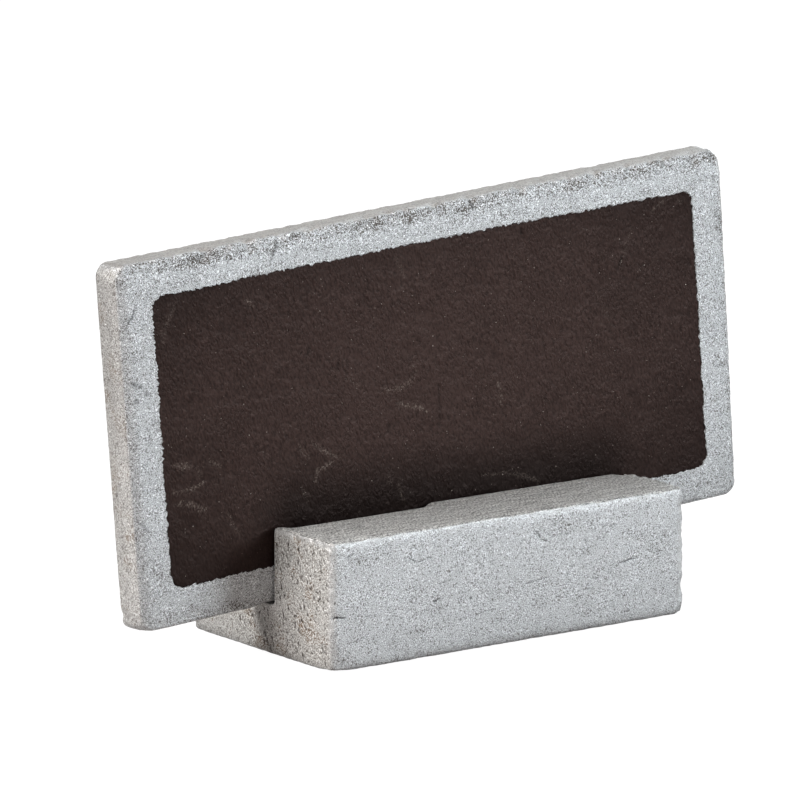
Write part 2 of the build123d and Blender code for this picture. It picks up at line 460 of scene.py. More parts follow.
places, facing = vectors(block.data, "co"), vectors(block.data, "normal")
x, y, z = places.T
side_distance = np.stack(
    [block_high.x - np.abs(x), block_high.y - np.abs(y), np.minimum(z, block_high.z - z)], 1
)
at_edge = np.clip((1 - ramp(side_distance, 0.2 * MM, 1.5 * MM)).sum(1) - 1, 0, 1)
at_edge *= 0.3 + 0.7 * ramp(z, 0.5 * MM, 3.0 * MM)  # the underside's edges are hardly worn
at_edge *= 1 + (RIGHT_EDGE_WEAR - 1) * ramp(x, block_high.x - 1.6 * MM, block_high.x - 0.6 * MM)
knocked = -END_BULGE * ramp(facing[:, 0], 0.3, 0.9)
for corner, reach, deep in KNOCKED_CORNERS:
    corner_place = np.array([block_low.x, block_low.y, 0.0]) + np.array(corner) * MM
    knocked += deep * (1 - ramp(np.linalg.norm(places - corner_place, axis=1), 0, reach))
# How deep in the cracks each point lies: it sinks the coat there and darkens it with painted shade
wandering = places[:, [0, 2]] + CRACK_WOBBLE * wobble.normal(0, 1, (len(places), 2))
in_cracks = np.where(facing[:, 1] < -0.7, crack_amount(wandering, front_corner, FRONT_CRACKS)[0], 0)
wandering = places[:, [1, 2]] + CRACK_WOBBLE * wobble.normal(0, 1, (len(places), 2))
end_cracks = crack_amount(wandering, (block_low.y, block_high.z), END_CRACKS)[0]
in_cracks = np.where(facing[:, 0] < -0.7, end_cracks, in_cracks)
pit = np.exp(-(np.linalg.norm(places[:, :2] - pit_middle, axis=1) / PIT_RADIUS) ** 2)
# The pit on the lip's top is sunk and darkened the same way, with painted shade
in_cracks = np.maximum(in_cracks, np.where(facing[:, 2] > 0.7, pit, 0))
lip_back = block_low.y + GROOVE_FRONT
from_lip_edge = np.hypot(y - lip_back, z - block_high.z)
from_end = x - block_low.x
at_left = ramp(from_end, 0, 4 * MM) * (1 - ramp(from_end, LOW_EDGE_END - 1.4 * MM, LOW_EDGE_END + 0.6 * MM))
worn_low = (1 - ramp(from_lip_edge, 0, LOW_EDGE_REACH)) * at_left
from_middle = np.abs(y - lip_back - GROOVE_WIDTH / 2)
in_groove = (from_middle < GROOVE_WIDTH / 2 + 0.3 * MM) & (z > GROOVE_FLOOR - 0.3 * MM)
# The underside carries no grit, so it needs less room
standing = 0.5 * COAT_INSET * ramp(-facing[:, 2], 0.6, 0.95)
sunk_by = CRACK_DEPTH * in_cracks ** 2 + LOW_EDGE_DEPTH * worn_low + knocked - standing
# The end grain is covered best along the rubbed edges and behind the groove
covered = np.clip(1 - 0.85 * at_edge, 0, 1)
covered *= 1 - 0.4 * ramp(y, lip_back + GROOVE_WIDTH, block_high.y)
# Painted shade: the paint is made darker towards the bottom, most of all along the lower edge
shade_to_bottom = SHADE_TO_BOTTOM * (1 - z / block_high.z) + SHADE_AT_LOWER_EDGE * (1 - ramp(z, 0.2 * MM, 1.8 * MM))
on_top = ramp(facing[:, 2], 0.45, 0.9)
store(
    block.data, edge=at_edge, crack=in_cracks, sunk=sunk_by, foot=shade_to_bottom, top_face=on_top,
    end_face=ramp(np.abs(facing[:, 0]), 0.8, 0.99) * covered,
    hidden=np.where(in_groove | (facing[:, 2] < -0.6), 1, SMOOTH_TOP * on_top),
)
silver_on_block = silver_paint(
    "silver_grit_paint_on_sawn_pine", dull="#7E7E7E", bright="#E6E8EA", top_tones=("#5E5E5D", "#ECECEA"),
    bare_ends=1.0, speckled_edges=0.0,
)
grow(
    block, coat_tree, inset=COAT_INSET, swell_size=3.5 * MM, swell_depth=0.05 * MM, wear_size=1.5 * MM,
    wear_depth=0.26 * MM, rough_size=0.6 * MM, rough_depth=0.022 * MM, pit_size=0.4 * MM,
    pit_depth=0.08 * MM, paint=silver_on_block,
)
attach(block, "base")
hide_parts("base_block")

# Grit on the block: bright aluminium grains that came with the paint and stand half out of it.
# Their clean little facets flash where they face a light and go dark elsewhere.
aluminium_grit, tree = new_material("aluminium_grit")
place = add(tree, "ShaderNodeTexCoord").outputs["Object"]
cell = add(tree, "ShaderNodeTexVoronoi", {"Vector": place, "Scale": 1 / (0.4 * MM)})
cell_tone = add(tree, "ShaderNodeSeparateColor", {0: cell.outputs["Color"]})
shine = add(tree, "ShaderNodeMapRange", {"Value": cell_tone, "To Min": 0.25, "To Max": 0.5})
facet = add(tree, "ShaderNodeMix", {0: cell_tone, 6: "#8C8E8F", 7: "#D2D4D5"}, data_type="RGBA")
surface = add(tree, "ShaderNodeBsdfPrincipled", {"Base Color": facet, "Metallic": 1.0, "Roughness": shine})
add(tree, "ShaderNodeOutputMaterial", {"Surface": surface})
block_grit = new_piece("block_grit", block.data.copy())
grow(block_grit, grit_tree, per_area=GRIT_PER_AREA, size=GRIT_RADIUS, paint=aluminium_grit)
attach(block_grit, "base")

# Board: a thin wood plate with rounded corners, sprayed with the same silver paint on its border,
# edges and back. It stands loose in the groove, leaning back and rocked up at its right end.
lift = Vector(frame["joints"][0]["axis"])
board_lean = math.atan2(lift.y, lift.z)
BOARD_ROCK = math.radians(3.3)
stand = np.array(Matrix.Rotation(-board_lean, 3, "X") @ Matrix.Rotation(-BOARD_ROCK, 3, "Y"))
EDGE_RADIUS = 0.7 * MM
PILLOW_DEPTH = 0.08 * MM  # the paint rolls off this much towards the front edge
PILLOW_REACH = 0.8 * MM
PANEL_UNDERLAP = 0.25 * MM  # the chalkboard coat runs this far under the silver
COAT_PARTING = 0.01 * MM  # between the silver's ragged edge and the coat below it
RECESS_RAISE = 0.04 * MM  # makes up for the coat's own hollows in the recess
JAG_STEP = 2  # points of the outline in one long jag
LONG_JAG = 0.15 * MM  # ragged edge where the silver was masked off
SHORT_JAG = 0.12 * MM
# The silver comes further in along the top, the nearer to the right end: place and extra, both in mm
LOW_TOP_EDGE = ([60.0, 68.7, 78.9, 86.5], [0.0, 0.15, 0.25, 0.5])
KNOCKED_CORNER = (3.8 * MM, 0.45 * MM)  # reach and depth, at the upper right of the front
REAR_CORNER = (3.4 * MM, 0.5 * MM)  # and at the lower left of the back
BACK_WEAR, RIGHT_WEAR = 0.45, 1.4  # how deep the edges are worn there, where the front's wear is 1
# Painted shade: how much darker the paint is made towards the bottom, high on the left side and beside the
# left front edge
BOARD_SHADE_LOW, BOARD_SHADE_HIGH_LEFT, BOARD_SHADE_BESIDE_EDGE = 0.14, 0.28, 0.07
SOFT_LEFT = (2.2 * MM, 0.42 * MM)  # reach and depth of the rubbed front edge at the left
RIGHT_BULGE = 0.5 * MM  # the right side swells out this far towards the top
LOW_BULGE = (0.27 * MM, 1.0 * MM)  # the free lower edge hangs this far, and so much more at its rear corner
LOW_BULGE_END = 20.5 * MM  # along the board
TOP_RISE = 0.1 * MM  # the paint lies thicker on the upper edge
# Hollows in the upper front edge: place along the board and reach, in mm
EDGE_HOLLOWS = [
    (14.2, 0.9), (21.2, 0.9), (31.7, 1.2), (40.9, 1.5), (44.1, 0.8), (52.0, 0.6), (57.8, 0.7), (66.0, 0.7),
    (73.8, 1.3), (79.0, 0.9), (84.5, 0.6), (91.0, 0.7), (96.0, 1.4),
]
HOLLOW_DEPTH = 0.25 * MM
# Cracks in the border, darkened with painted shade: how dark, how wide, then points along the board and
# down from its top, all in mm
BOARD_CRACKS = [
    (0.9, 0.17, [(25.9, 0.9), (25.3, 2.1), (24.5, 3.4)]), (0.8, 0.17, [(2.9, 5.9), (2.3, 7.1), (1.4, 7.9)]),
    (0.9, 0.2, [(57.8, 0.4), (57.9, 1.8)]), (0.55, 0.2, [(88.8, 1.5), (89.2, 2.0)]),
    (0.55, 0.2, [(98.8, 3.9), (99.0, 4.5)]), (0.5, 0.2, [(98.8, 8.8), (99.0, 9.4)]),
    (0.7, 0.34, [(1.6, 15.6), (2.3, 15.9)]), (0.7, 0.3, [(2.5, 16.4), (3.0, 16.1)]),
    (0.6, 0.3, [(3.4, 17.2), (3.9, 17.6)]), (0.6, 0.3, [(1.9, 17.8), (2.3, 18.3)]),
    (0.6, 0.16, [(1.2, 33.9), (1.9, 34.7), (2.5, 35.6)]),
]
BOARD_CORNERS = [2.4 * MM, 2.0 * MM, 1.4 * MM, 2.0 * MM]  # lower left, lower right, upper right, upper left
PANEL_CORNERS = [2.3 * MM, 2.0 * MM, 1.2 * MM, 1.9 * MM]
LONG_SIDE_POINTS = 380
SHORT_SIDE_POINTS = 150
CORNER_POINTS = 12


def in_board(node):
    """Lowest and highest corner of a node along the board's own width, depth and height."""
    own = vectors(frame["nodes"][node].data, "co") @ stand
    return own.min(0), own.max(0)


def outline(low, high, radii, inset=0.0):
    """Points round a rectangle with rounded corners, with the same count on each side whatever its size."""
    x0, z0, x1, z1 = low[0] + inset, low[-1] + inset, high[0] - inset, high[-1] - inset
    r = [max(radius - inset, 0.05 * MM) for radius in radii]
    centres = [
        (x0 + r[0], z0 + r[0]), (x1 - r[1], z0 + r[1]), (x1 - r[2], z1 - r[2]), (x0 + r[3], z1 - r[3]),
    ]
    arcs = []
    for k in range(4):
        turn = math.radians(180 + 90 * k) + np.linspace(0, math.pi / 2, CORNER_POINTS)
        arcs.append(np.array(centres[k]) + r[k] * np.stack([np.cos(turn), np.sin(turn)], 1))
    points = []
    for k in range(4):
        count = LONG_SIDE_POINTS if k % 2 == 0 else SHORT_SIDE_POINTS
        share = np.linspace(0, 1, count + 1, endpoint=False)[1:, None]
        points += [arcs[k], arcs[k][-1] * (1 - share) + arcs[(k + 1) % 4][0] * share]
    return np.concatenate(points)


def middle_line(points):
    """Where each point of an outline ends up when the outline shrinks to its own middle line."""
    low, high = points.min(0), points.max(0)
    half = (high[1] - low[1]) / 2
    along = np.clip(points[:, 0], low[0] + half, high[0] - half)
    return np.stack([along, np.full(len(points), low[1] + half)], 1)


def skin(name, rows):
    """A closed mesh from rings of points, each with its depth behind the board's front face."""
    rings = [np.insert(ring, 1, board_low[1] + behind, axis=1) @ stand.T for ring, behind in rows]
    form = bmesh.new()
    verts = [[form.verts.new(point) for point in ring] for ring in rings]
    for one, other in zip(verts, verts[1:]):
        for i in range(len(one)):
            form.faces.new((one[i - 1], other[i - 1], other[i], one[i]))
    bmesh.ops.remove_doubles(form, verts=form.verts, dist=0.002 * MM)
    bmesh.ops.recalc_face_normals(form, faces=form.faces)
    mesh = bpy.data.meshes.new(name)
    form.to_mesh(mesh)
    form.free()
    return mesh


board_low, board_high = in_board("board")
panel_low, panel_high = in_board("chalkboard_panel")
board_depth = board_high[1] - board_low[1]
recess_depth = panel_high[1] - board_low[1]
panel_front = panel_low[1] - board_low[1]
panel_edge = outline(panel_low - PANEL_UNDERLAP, panel_high + PANEL_UNDERLAP, PANEL_CORNERS)
recess_wall = outline(
    panel_low - PANEL_UNDERLAP - COAT_PARTING, panel_high + PANEL_UNDERLAP + COAT_PARTING, PANEL_CORNERS
)
jag = np.random.default_rng(12)
long_jags = jag.uniform(-1, 1, len(panel_edge) // JAG_STEP)
along_jags = np.arange(len(panel_edge)) / JAG_STEP
raggedness = LONG_JAG * np.interp(along_jags, np.arange(len(long_jags)), long_jags, period=len(long_jags))
raggedness += jag.uniform(-SHORT_JAG, SHORT_JAG, len(panel_edge))
along_top = np.interp((panel_edge[:, 0] - panel_low[0]) / MM, *LOW_TOP_EDGE) * MM
raggedness += along_top * ramp(panel_edge[:, 1], panel_high[2] - 1.2 * MM, panel_high[2])
inward = middle_line(panel_edge) - panel_edge
inward /= np.linalg.norm(inward, axis=1)[:, None]
silver_edge = panel_edge + inward * np.maximum(PANEL_UNDERLAP * 0.7 + raggedness, COAT_PARTING)[:, None]
flat_edge = outline(board_low, board_high, BOARD_CORNERS, EDGE_RADIUS)
border_width = np.linalg.norm(flat_edge - silver_edge, axis=1)
rows = [(middle_line(recess_wall) * (1 - t) + recess_wall * t, recess_depth) for t in np.linspace(0, 1, 5)]
rows += [(recess_wall, panel_front - COAT_PARTING), (silver_edge, panel_front - COAT_PARTING)]
for t in np.insert(np.linspace(0, 1, 30), 1, 0.008):  # the second row keeps the ragged edge crisp
    from_edge = border_width * (1 - t)
    rows.append((silver_edge * (1 - t) + flat_edge * t, PILLOW_DEPTH * np.exp(-from_edge / PILLOW_REACH)))
for turn in np.linspace(0, math.pi / 2, 6)[1:]:
    rim = outline(board_low, board_high, BOARD_CORNERS, EDGE_RADIUS * (1 - math.sin(turn)))
    rows.append((rim, PILLOW_DEPTH + (EDGE_RADIUS - PILLOW_DEPTH) * (1 - math.cos(turn))))
rim = outline(board_low, board_high, BOARD_CORNERS)
rows += [(rim, EDGE_RADIUS + (board_depth - 2 * EDGE_RADIUS) * t) for t in np.linspace(0, 1, 12)[1:]]
for turn in np.linspace(0, math.pi / 2, 6)[1:]:
    rim = outline(board_low, board_high, BOARD_CORNERS, EDGE_RADIUS * (1 - math.cos(turn)))
    rows.append((rim, board_depth - EDGE_RADIUS * (1 - math.sin(turn))))
rows += [(flat_edge * (1 - t) + middle_line(flat_edge) * t, board_depth) for t in np.linspace(0, 1, 21)[1:]]
board = new_piece("sprayed_board", skin("sprayed_board", rows))

places, facing = vectors(board.data, "co"), vectors(board.data, "normal") @ stand
own = places @ stand
x, y, z = own.T
side_distance = np.minimum(own - board_low, board_high - own)
from_end = x - board_low[0]
at_edge = np.clip((1 - ramp(side_distance, 0.2 * MM, np.array([1.6, 1.6, 4.4]) * MM)).sum(1) - 1, 0, 1)
at_edge *= 0.2 + 0.8 * ramp(z, board_high[2] - 3 * MM, board_high[2] - MM)  # the top is worn most
at_edge *= 0.3 + 0.7 * ramp(from_end, 2 * MM, 9 * MM)  # the upper left is calm
to_back = ramp(y, board_low[1] + 0.5 * board_depth, board_low[1] + 0.8 * board_depth)
at_edge *= 1 + (BACK_WEAR - 1) * to_back
at_edge *= 1 + (RIGHT_WEAR - 1) * ramp(x, board_high[0] - 1.6 * MM, board_high[0] - 0.6 * MM)
from_top_edge = np.hypot(y - board_low[1], z - board_high[2])
hollow = np.zeros(len(own))
for along, reach in EDGE_HOLLOWS:
    hollow = np.maximum(hollow, np.exp(-((from_end - along * MM) / (reach * MM)) ** 2))
hollow *= 1 - ramp(from_top_edge, 0.6 * MM, 2.2 * MM)
border_corner = (board_low[0], board_high[2])
# Cracks in the border sink the coat and darken it with painted shade
in_cracks = np.where(facing[:, 1] < -0.5, crack_amount(own[:, [0, 2]], border_corner, BOARD_CRACKS)[0], 0)
in_recess = (side_distance[:, [0, 2]].min(1) > 4.0 * MM) & (y < board_low[1] + board_depth / 2)
in_recess &= y > board_low[1] + 0.05 * MM
in_block = (np.abs(places[:, 0]) < block_high.x + MM) & (places[:, 2] < block_high.z + MM)
# The front face gets no room for grit, so that it stays proud of the panel, and the recess stays in place
knock = np.linalg.norm(own - np.array([board_high[0], board_low[1], board_high[2]]), axis=1)
sunk_by = KNOCKED_CORNER[1] * (1 - ramp(knock, 0, KNOCKED_CORNER[0]))
rear_knock = np.linalg.norm(own - np.array([board_low[0], board_high[1], board_low[2]]), axis=1)
sunk_by += REAR_CORNER[1] * (1 - ramp(rear_knock, 0, REAR_CORNER[0]))
from_left_edge = np.hypot(from_end, y - board_low[1])
sunk_by += SOFT_LEFT[1] * (1 - ramp(from_left_edge, 0, SOFT_LEFT[0]))
sunk_by += HOLLOW_DEPTH * hollow + 0.5 * CRACK_DEPTH * in_cracks ** 2
sunk_by -= COAT_INSET * ramp(-facing[:, 1], 0.6, 0.95)
up_the_board = np.clip((z - board_low[2]) / (board_high[2] - board_low[2]), 0, 1)
# Painted shade: the paint is made darker towards the board's bottom, towards the top of its left side, and
# beside its left edge
shade_low_down = BOARD_SHADE_LOW * (1 - ramp(up_the_board, 0, 0.3)) * ramp(-facing[:, 1], 0.5, 0.9)
shade_high_left = BOARD_SHADE_HIGH_LEFT * ramp(up_the_board, 0.2, 0.75) * ramp(-facing[:, 0], 0.5, 0.9)
shade_beside_left = BOARD_SHADE_BESIDE_EDGE * np.exp(-((from_left_edge - 1.0 * MM) / (0.6 * MM)) ** 2)
shade_beside_left *= ramp(-facing[:, 1], 0.3, 0.7)
sunk_by -= RIGHT_BULGE * up_the_board ** 0.7 * ramp(facing[:, 0], 0.3, 0.9)
hanging = LOW_BULGE[1] * np.exp(-from_end / (2 * MM)) * ramp(y, board_low[1], board_high[1])
hanging += LOW_BULGE[0]
hanging *= 1 - ramp(from_end, LOW_BULGE_END - 3 * MM, LOW_BULGE_END)
sunk_by -= hanging * ramp(-facing[:, 2], 0.2, 0.8)
sunk_by -= TOP_RISE * ramp(facing[:, 2], 0.5, 0.95)
on_top = ramp(facing[:, 2], 0.85, 0.99)
store(
    board.data, edge=np.minimum(at_edge + 0.7 * hollow, 1.1), crack=in_cracks, top_face=on_top,
    sunk=np.where(in_recess, -COAT_INSET - RECESS_RAISE, sunk_by), foot=shade_low_down + shade_high_left + shade_beside_left,
    end_face=ramp(np.abs(facing[:, 0]), 0.55, 0.95),
    hidden=np.where(in_recess | in_block, 1, SMOOTH_TOP * on_top),
)
silver_on_board = silver_paint(
    "silver_grit_paint_on_board", dull="#787878", bright="#D8DADC", top_tones=("#8B8987", "#B5B2AF"),
    bare_ends=0.6, speckled_edges=1.0,
)
grow(
    board, coat_tree, inset=COAT_INSET, swell_size=3.5 * MM, swell_depth=0.05 * MM, wear_size=1.3 * MM,
    wear_depth=0.4 * MM, rough_size=0.6 * MM, rough_depth=0.022 * MM, pit_size=0.4 * MM,
    pit_depth=0.05 * MM, paint=silver_on_board,
)
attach(board, "plate")
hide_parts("board")

# Grit on the board: the same aluminium grains, half sunk in its paint.
# There are none behind the chalkboard panel or down in the groove.
board_grit = new_piece("board_grit", board.data.copy())
grow(board_grit, grit_tree, per_area=GRIT_PER_AREA, size=GRIT_RADIUS, paint=aluminium_grit)
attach(board_grit, "plate")

# Chalkboard panel: a thin coat of brown-black chalkboard paint, rolled on inside the silver border.
# It is matte with a streaky orange peel, and a haze of rubbed-out chalk with a painted sheen lies over its
# middle, fading to painted shade above the block's lip.
# Pimples: place right and down from the panel's upper left corner, radius and height, all in mm
PIMPLES = [(19.0, 13.0, 0.6, 0.1), (48.2, 9.0, 0.5, 0.08), (66.0, 27.5, 0.5, 0.08)]
# Old chalk strokes: how much is left, then points right and down from the same corner, in mm
CHALK_STROKES = [
    (1.0, [(15.1, 3.0), (15.5, 3.3), (15.9, 3.4)]), (0.6, [(14.7, 2.9), (16.4, 3.7)]),
    (0.5, [(4.3, 0.9), (2.9, 2.9), (1.6, 4.9), (1.5, 6.5)]),
    (0.8, [(35.6, 18.5), (38.6, 18.8), (40.4, 18.2), (41.5, 17.0)]),
    (1.0, [(37.8, 20.7), (40.1, 21.5), (41.7, 22.0), (42.8, 22.7)]),
    (0.8, [(23.8, 23.4), (24.8, 24.3), (25.9, 25.2), (27.7, 26.2)]),
    (0.7, [(26.8, 26.8), (24.7, 27.4), (23.7, 28.9)]), (0.4, [(21.7, 23.4), (22.3, 24.6), (23.3, 25.6)]),
    (0.8, [(1.5, 22.5), (2.8, 23.0), (4.3, 23.3)]), (0.6, [(2.0, 22.3), (3.9, 22.8)]),
    (0.7, [(7.3, 23.0), (9.2, 24.3)]), (0.4, [(5.5, 23.5), (5.8, 25.0)]),
    (0.8, [(1.3, 26.2), (3.5, 26.3), (5.1, 26.0), (6.4, 25.6)]),
    (0.9, [(1.5, 27.8), (2.7, 27.8), (4.2, 28.2), (5.3, 29.0), (6.4, 29.4)]),
    (0.35, [(9.4, 30.1), (11.4, 34.1)]), (0.4, [(35.7, 30.2), (36.2, 32.0)]),
    (0.4, [(37.2, 31.5), (38.0, 34.4)]),
    (0.35, [(21.7, 29.3), (22.5, 31.2)]), (0.35, [(29.8, 15.7), (32.1, 17.5)]),
    (0.35, [(39.1, 1.0), (40.8, 4.2)]),
    (0.6, [(82.6, 2.2), (84.0, 1.2), (85.4, 0.8)]), (0.6, [(87.2, 1.0), (87.9, 1.8)]),
    (0.7, [(54.7, 20.5), (55.0, 22.2), (55.2, 24.0)]), (0.3, [(79.0, 3.8), (76.6, 8.4)]),
    (0.3, [(72.2, 11.5), (74.8, 16.9)]), (0.5, [(51.1, 33.1), (55.4, 33.5), (58.6, 34.5), (60.7, 35.7)]),
]
SMUDGE_WIDTH = 0.28  # mm
SMUDGE_WOBBLE = 0.14 * MM  # how ragged they are
# Dents, as fingernails leave, darkened with painted shade: how deep, how wide, then points right and down
# from the same corner, in mm
PANEL_DENTS = [
    (0.8, 0.22, [(24.6, 10.6), (24.1, 11.8)]), (0.8, 0.22, [(29.0, 13.5), (28.6, 14.5)]),
    (0.7, 0.22, [(36.7, 23.2), (36.2, 24.3)]), (0.6, 0.2, [(45.0, 19.3), (44.8, 25.4)]),
    (0.9, 0.22, [(60.3, 0.6), (60.3, 1.7)]), (0.8, 0.22, [(77.1, 7.3), (76.2, 9.0)]),
]
DENT_DEPTH = 0.12 * MM
HAZE_SHEEN_REACH = (52 * MM, 22 * MM)  # half as thick there as in the middle
HAZE_SHEEN_RISE = 2 * MM  # its middle lies this far above the panel's
LIP_SHADE_GAP = 10 * MM  # how far round the block's lip it is thinned, as painted shade
STREAK_LEAN = math.radians(-15)
panel_corner = np.array([panel_low[0], panel_high[2]])  # upper left, which the marks are measured from
rows = []
for t in np.linspace(0, 1, 60):
    ring = middle_line(panel_edge) * (1 - t) + panel_edge * t
    behind = np.full(len(ring), panel_front)
    for right_of, below, radius, height in PIMPLES:
        pimple = panel_corner + np.array([right_of, -below]) * MM
        behind -= height * MM * np.exp(-(np.linalg.norm(ring - pimple, axis=1) / (radius * MM)) ** 2)
    rows.append((ring, behind))
rows.append((panel_edge, recess_depth))
for t in np.linspace(0, 1, 5)[1:]:
    rows.append((panel_edge * (1 - t) + middle_line(panel_edge) * t, recess_depth))
panel = new_piece("chalkboard_face", skin("chalkboard_face", rows))
own = vectors(panel.data, "co") @ stand
smudges = [(amount, SMUDGE_WIDTH, stroke) for amount, stroke in CHALK_STROKES]
# The haze, with its painted sheen, is thickest in the middle; above the block's lip it thins to none, as
# painted shade
across = (own[:, 0] - (panel_low[0] + panel_high[0]) / 2) / HAZE_SHEEN_REACH[0]
upward = (own[:, 2] - (panel_low[2] + panel_high[2]) / 2 - HAZE_SHEEN_RISE) / HAZE_SHEEN_REACH[1]
places = own @ stand.T
lip_shade = 1 - ramp(places[:, 2], block_high.z, block_high.z + LIP_SHADE_GAP)
lip_shade *= 1 - ramp(np.abs(places[:, 0]), block_high.x - LIP_SHADE_GAP / 2, block_high.x + LIP_SHADE_GAP / 2)
scratchy = own[:, [0, 2]] + SMUDGE_WOBBLE * wobble.normal(0, 1, (len(own), 2))
shaded_dents = crack_amount(own[:, [0, 2]], panel_corner, PANEL_DENTS)[0]
store(
    panel.data, haze=np.clip(1 - 0.5 * (across ** 2 + upward ** 2), 0, 1) * (1 - lip_shade), crack=shaded_dents,
    smudge=crack_amount(scratchy, panel_corner, smudges)[0],
    sunk=np.where(own[:, 1] < panel_low[1] + 0.1 * MM, DENT_DEPTH * shaded_dents, 0),
)

blackboard, tree = new_material("rolled_chalkboard_paint")
place = add(tree, "ShaderNodeTexCoord").outputs["Object"]
# The roller left short streaks, 0.3 mm wide and 0.5 mm long, that lean a little
streak_place = add(
    tree, "ShaderNodeMapping",
    {"Vector": place, "Rotation": (0, STREAK_LEAN, 0), "Scale": (1.0, 1.0, 1.7)}, vector_type="TEXTURE",
)
peel = add(tree, "ShaderNodeTexNoise", {"Vector": streak_place, "Scale": 1 / (0.3 * MM)})
# Haze: rubbed chalk with a painted sheen, caught on the tooth of the coat, uneven as a cloth leaves it
haze = add(tree, "ShaderNodeAttribute", attribute_name="haze").outputs["Fac"]
wiped = add(tree, "ShaderNodeTexNoise", {"Vector": place, "Scale": 1 / (9 * MM), "Detail": 3.0})
wiped = add(tree, "ShaderNodeMapRange", {"Value": wiped, "From Min": 0.3, "From Max": 0.7, "To Min": 0.75})
tooth = add(
    tree, "ShaderNodeMapRange",
    {"Value": peel, "From Min": 0.3, "From Max": 0.7, "To Min": 0.5, "To Max": 1.5},
)
for share in (wiped, tooth):
    haze = add(tree, "ShaderNodeMath", {0: haze, 1: share}, operation="MULTIPLY")
ground = add(tree, "ShaderNodeMix", {0: haze, 6: "#0C0605", 7: "#392C29"}, data_type="RGBA")
# Chalk left in the tooth of the coat along the old strokes
smudge = add(tree, "ShaderNodeAttribute", attribute_name="smudge").outputs["Fac"]
caught = add(tree, "ShaderNodeTexNoise", {"Vector": place, "Scale": 1 / (0.25 * MM)})
caught = add(
    tree, "ShaderNodeMapRange", {"Value": caught, "From Min": 0.46, "From Max": 0.66, "To Max": 0.5}
)
smudge = add(tree, "ShaderNodeMath", {0: smudge, 1: caught}, operation="MULTIPLY")
# Painted shade: the dents go dark
dent_shade = add(tree, "ShaderNodeAttribute", attribute_name="crack").outputs["Fac"]
dent_shade = add(tree, "ShaderNodeMath", {0: dent_shade, 1: 0.9}, operation="MULTIPLY")
for share, colour in ((smudge, "#93867D"), (dent_shade, "#0A0605")):
    ground = add(tree, "ShaderNodeMix", {0: share, 6: ground, 7: colour}, data_type="RGBA")
# Its relief is stronger in some patches than in others, over soft lumps of 0.8 mm
lumps = add(tree, "ShaderNodeTexNoise", {"Vector": streak_place, "Scale": 1 / (0.8 * MM)})
rolled = add(tree, "ShaderNodeTexNoise", {"Vector": place, "Scale": 1 / (3.0 * MM)})
rolled = add(
    tree, "ShaderNodeMapRange", {"Value": rolled, "From Min": 0.35, "From Max": 0.65, "To Min": 0.3}
)
relief_height = add(tree, "ShaderNodeMath", {0: peel, 1: rolled}, operation="MULTIPLY")
relief_height = add(tree, "ShaderNodeMath", {0: lumps, 1: 0.6, 2: relief_height}, operation="MULTIPLY_ADD")
relief = add(tree, "ShaderNodeBump", {"Height": relief_height, "Distance": 0.2 * MM})
surface = add(
    tree, "ShaderNodeBsdfPrincipled",
    {
        "Base Color": ground, "Roughness": 0.42, "Specular IOR Level": 0.11,
        "Specular Tint": "#FFE0D7", "Normal": relief,
    },
)
add(tree, "ShaderNodeOutputMaterial", {"Surface": surface})
grow(
    panel, coat_tree, inset=0.0, swell_size=2.5 * MM, swell_depth=0.03 * MM, wear_size=1.0 * MM,
    wear_depth=0.0, rough_size=0.7 * MM, rough_depth=0.02 * MM, pit_size=1.0 * MM, pit_depth=0.0,
    paint=blackboard,
)
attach(panel, "plate")
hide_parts("chalkboard_panel")

# Chalk dust: what is left of old chalk strokes after wiping, grains caught in the tooth of the coat,
# with loose specks between them. It lies on the panel.
CHALK_RADIUS = 0.09 * MM
CHALK_SPREAD = 0.22 * MM
CHALK_STEP = 0.05 * MM
SPECKS_PER_AREA = 0.2 / (MM * MM)
CHALK_DEPTH = 0.03 * MM  # behind the solid's face, about where the rolled coat lies
DUSTED_FIELD = ((0.5, 38.5), (89.0, 38.5), (89.0, 0.5), (0.5, 0.5))  # its corners, right and down in mm
chalk_tree, given = tree_with(
    "chalk_dust", surface="Geometry", step="Float", spread="Float", per_area="Float", size="Float",
    chalk="Material",
)
left_over = add(chalk_tree, "GeometryNodeInputNamedAttribute", {"Name": "chalk"})
on_stroke = add(chalk_tree, "FunctionNodeCompare", {0: left_over, 1: 0.0}, operation="GREATER_THAN")
lines = add(chalk_tree, "GeometryNodeMeshToCurve", {"Mesh": given["surface"], "Selection": on_stroke})
along = add(
    chalk_tree, "GeometryNodeCurveToPoints", {"Curve": lines, "Length": given["step"]}, mode="LENGTH"
)
scatter = add(
    chalk_tree, "FunctionNodeRandomValue",
    {0: (-1.0,) * 3, 1: (1.0,) * 3, "Seed": 21}, data_type="FLOAT_VECTOR",
)
across = add(
    chalk_tree, "ShaderNodeVectorMath", {0: scatter, 1: tuple(1 - abs(stand[:, 1]))}, operation="MULTIPLY"
)
across = add(chalk_tree, "ShaderNodeVectorMath", {0: across, "Scale": given["spread"]}, operation="SCALE")
dusted = add(chalk_tree, "GeometryNodeSetPosition", {"Geometry": along, "Offset": across})
chance = add(chalk_tree, "FunctionNodeRandomValue", {2: 0.0, 3: 1.5, "Seed": 22})
wiped_off = add(chalk_tree, "FunctionNodeCompare", {0: chance, 1: left_over}, operation="GREATER_THAN")
kept = add(
    chalk_tree, "GeometryNodeDeleteGeometry", {"Geometry": dusted, "Selection": wiped_off}, domain="POINT"
)
specks = add(
    chalk_tree, "GeometryNodeDistributePointsOnFaces",
    {"Mesh": given["surface"], "Density": given["per_area"], "Seed": 23},
)
dust = add(chalk_tree, "GeometryNodeJoinGeometry")
for points in (kept, specks):
    chalk_tree.links.new(points.outputs[0], dust.inputs[0])
end_in_grains(chalk_tree, dust, given["size"], 0.25, 24, given["chalk"])

